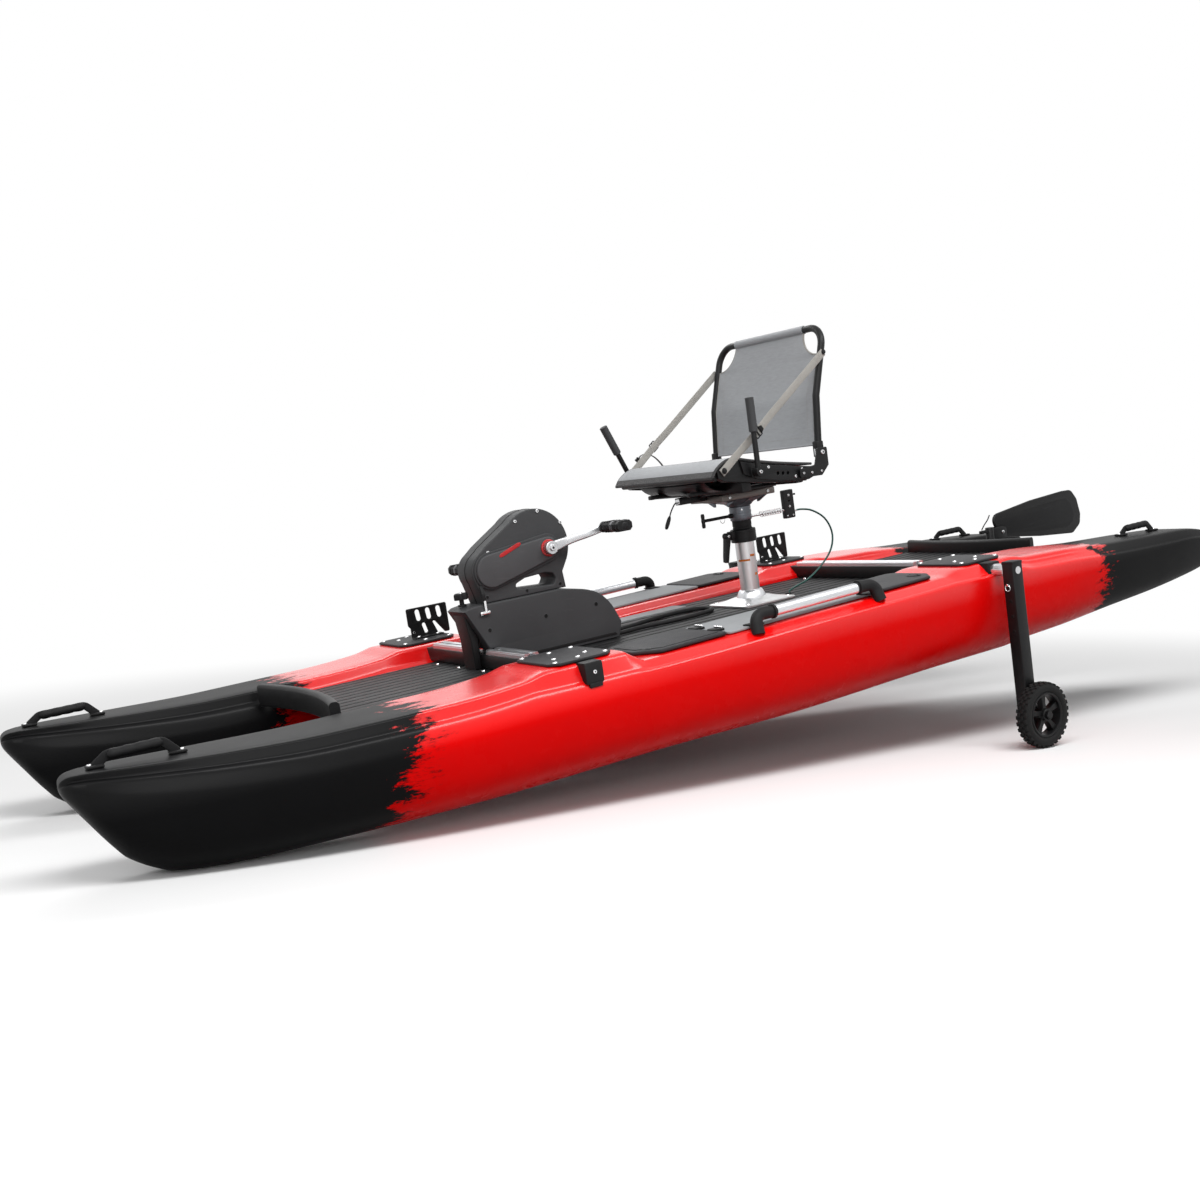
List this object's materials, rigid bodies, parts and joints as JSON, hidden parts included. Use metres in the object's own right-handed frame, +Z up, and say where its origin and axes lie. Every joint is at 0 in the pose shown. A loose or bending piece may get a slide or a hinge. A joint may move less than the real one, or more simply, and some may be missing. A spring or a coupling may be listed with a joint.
{
  "type": "twin-hull pedal boat",
  "caption": "Rigid twin-hull fishing boat with a pedal drive, a swivel sling seat on a post, a lifting rudder and folding landing wheels, joined by crossbars and ribbed decks.",
  "frame": {"origin": "on the floor under the middle of the boat's box, standing on its bow keels and its wheels", "axes": "+X to the bow, +Y to port, +Z up"},
  "size_m": [3.8534, 1.442, 1.283],
  "materials": {
    "red_hull": "moulded red, fading to black at bow and stern",
    "black_deck": "satin black, ribbed",
    "black_plastic": "satin black",
    "drive_plastic": "fine grained dark grey",
    "black_metal": "black powder coat on aluminium",
    "black_rubber": "matt black",
    "aluminium": "satin",
    "grey_metal": "blue-grey cast and anodised",
    "steel": "bright",
    "grey_fabric": "grey woven mesh",
    "pale_webbing": "pale warm grey webbing",
    "tyre_rubber": "matt black with tread",
    "teal_cable": "dark teal sheath"
  },
  "bodies": {
    "boat": {"port_hull": "red_hull", "starboard_hull": "red_hull", "fore_deck": "black_deck", "mid_deck": "black_deck", "aft_deck": "black_deck", "front_crossbar": "black_metal", "rear_crossbar": "black_metal", "front_port_plate": "black_plastic", "front_starboard_plate": "black_plastic", "rear_port_plate": "black_plastic", "rear_starboard_plate": "black_plastic", "front_accessory_bracket": "black_metal", "rear_accessory_bracket": "black_metal", "port_side_panel": "black_plastic", "starboard_side_panel": "black_plastic", "port_rail": "aluminium", "starboard_rail": "aluminium", "bow_port_handle": "black_rubber", "bow_starboard_handle": "black_rubber", "stern_port_handle": "black_rubber", "stern_starboard_handle": "black_rubber", "drive_base": "drive_plastic", "drive_case_port": "drive_plastic", "drive_case_starboard": "drive_plastic", "drive_chain": "steel", "gearcase": "drive_plastic", "pedestal": "aluminium", "steering_cable": "teal_cable", "deck_hose": "black_rubber"},
    "crank": {"crank_axle": "aluminium", "port_crank": "aluminium"},
    "port_pedal": {"port_pedal": "black_metal"},
    "starboard_pedal": {"starboard_pedal": "black_metal"},
    "jackshaft": {"jackshaft": "steel"},
    "propeller": {"propeller": "black_plastic"},
    "drive_knob": {"drive_knob": "black_plastic"},
    "cam_lever": {"cam_lever": "black_plastic"},
    "post": {"inner_post": "grey_metal", "cable_bracket": "black_metal", "return_spring": "steel"},
    "lock_handle": {"lock_handle": "black_metal"},
    "seat": {"swivel_head": "grey_metal", "seat_frame": "black_metal", "seat_fabric": "grey_fabric", "port_strap": "pale_webbing", "starboard_strap": "pale_webbing", "seat_cord": "black_rubber"},
    "backrest": {"back_frame": "black_metal", "back_fabric": "grey_fabric"},
    "port_lever": {"port_lever": "black_plastic"},
    "starboard_lever": {"starboard_lever": "black_plastic"},
    "rudder_head": {"rudder_head": "black_metal", "rudder_line": "black_rubber"},
    "rudder_blade": {"rudder_blade": "black_plastic"},
    "port_leg": {"port_leg": "black_metal"},
    "starboard_leg": {"starboard_leg": "black_metal"},
    "port_wheel": {"port_tyre": "tyre_rubber", "port_hub": "black_plastic"},
    "starboard_wheel": {"starboard_tyre": "tyre_rubber", "starboard_hub": "black_plastic"}
  },
  "joints": [
    {"name": "crank_spin", "type": "hinge", "parent": "boat", "child": "crank", "pos_m": [0.55467, 0, 0.6425], "axis": [0, 1, 0], "continuous": true},
    {"name": "port_pedal_spin", "type": "hinge", "parent": "crank", "child": "port_pedal", "pos_m": [0.39118, 0.1535, 0.69593], "axis": [0, 1, 0], "continuous": true},
    {"name": "starboard_pedal_spin", "type": "hinge", "parent": "crank", "child": "starboard_pedal", "pos_m": [0.71817, -0.1535, 0.58907], "axis": [0, 1, 0], "continuous": true},
    {"name": "jackshaft_spin", "type": "hinge", "parent": "boat", "child": "jackshaft", "pos_m": [0.73306, 0, 0.58602], "axis": [0, 1, 0], "continuous": true},
    {"name": "propeller_spin", "type": "hinge", "parent": "boat", "child": "propeller", "pos_m": [0.39281, 0, 0.11949], "axis": [0.9923, 0, -0.1236], "continuous": true},
    {"name": "knob_turn", "type": "hinge", "parent": "boat", "child": "drive_knob", "pos_m": [0.80093, 0, 0.49172], "axis": [0.1236, 0, 0.9923], "continuous": true},
    {"name": "cam_lever_swing", "type": "hinge", "parent": "boat", "child": "cam_lever", "pos_m": [-0.11705, 0, 0.65156], "axis": [0, -1, 0], "range_deg": [0, 110]},
    {"name": "seat_height", "type": "slide", "parent": "boat", "child": "post", "axis": [0.1236, 0, 0.9923], "range_m": [0, 0.1], "deforming": ["steering_cable"]},
    {"name": "lock_turn", "type": "hinge", "parent": "post", "child": "lock_handle", "pos_m": [-0.16352, 0, 0.71781], "axis": [0.9923, 0, -0.1236], "continuous": true},
    {"name": "seat_swivel", "type": "hinge", "parent": "post", "child": "seat", "pos_m": [-0.17218, 0, 0.7454], "axis": [0.1236, 0, 0.9923], "continuous": true},
    {"name": "backrest_fold", "type": "hinge", "parent": "seat", "child": "backrest", "pos_m": [-0.28169, 0, 0.89376], "axis": [0, 1, 0], "range_deg": [0, 84], "deforming": ["port_strap", "starboard_strap"]},
    {"name": "port_lever_swing", "type": "hinge", "parent": "seat", "child": "port_lever", "pos_m": [-0.02392, 0.2668, 0.83547], "axis": [0, 1, 0], "range_deg": [-20, 20]},
    {"name": "starboard_lever_swing", "type": "hinge", "parent": "seat", "child": "starboard_lever", "pos_m": [0.03165, -0.2668, 0.82855], "axis": [0, 1, 0], "range_deg": [-45, 0]},
    {"name": "rudder_steer", "type": "hinge", "parent": "boat", "child": "rudder_head", "pos_m": [-1.31697, 0, 0.55105], "axis": [0.1236, 0, 0.9923], "range_deg": [-28, 28]},
    {"name": "rudder_lift", "type": "hinge", "parent": "rudder_head", "child": "rudder_blade", "pos_m": [-1.36314, 0, 0.62533], "axis": [0, -1, 0], "range_deg": [0, 88], "deforming": ["rudder_line"]},
    {"name": "port_leg_fold", "type": "hinge", "parent": "boat", "child": "port_leg", "pos_m": [-0.66044, 0.645, 0.52272], "axis": [0, -1, 0], "range_deg": [0, 180]},
    {"name": "starboard_leg_fold", "type": "hinge", "parent": "boat", "child": "starboard_leg", "pos_m": [-0.66044, -0.645, 0.52272], "axis": [0, -1, 0], "range_deg": [0, 180]},
    {"name": "port_wheel_spin", "type": "hinge", "parent": "port_leg", "child": "port_wheel", "pos_m": [-0.72151, 0.691, 0.097], "axis": [0, 1, 0], "continuous": true},
    {"name": "starboard_wheel_spin", "type": "hinge", "parent": "starboard_leg", "child": "starboard_wheel", "pos_m": [-0.72151, -0.691, 0.097], "axis": [0, 1, 0], "continuous": true}
  ],
  "couplings": [
    {"joint": "jackshaft_spin", "follows": "crank_spin", "ratio": 2.1818},
    {"joint": "propeller_spin", "follows": "crank_spin", "ratio": 8},
    {"joint": "port_lever_swing", "follows": "rudder_steer", "ratio": 0.71429},
    {"joint": "starboard_lever_swing", "follows": "rudder_lift", "ratio": -0.51136}
  ]
}
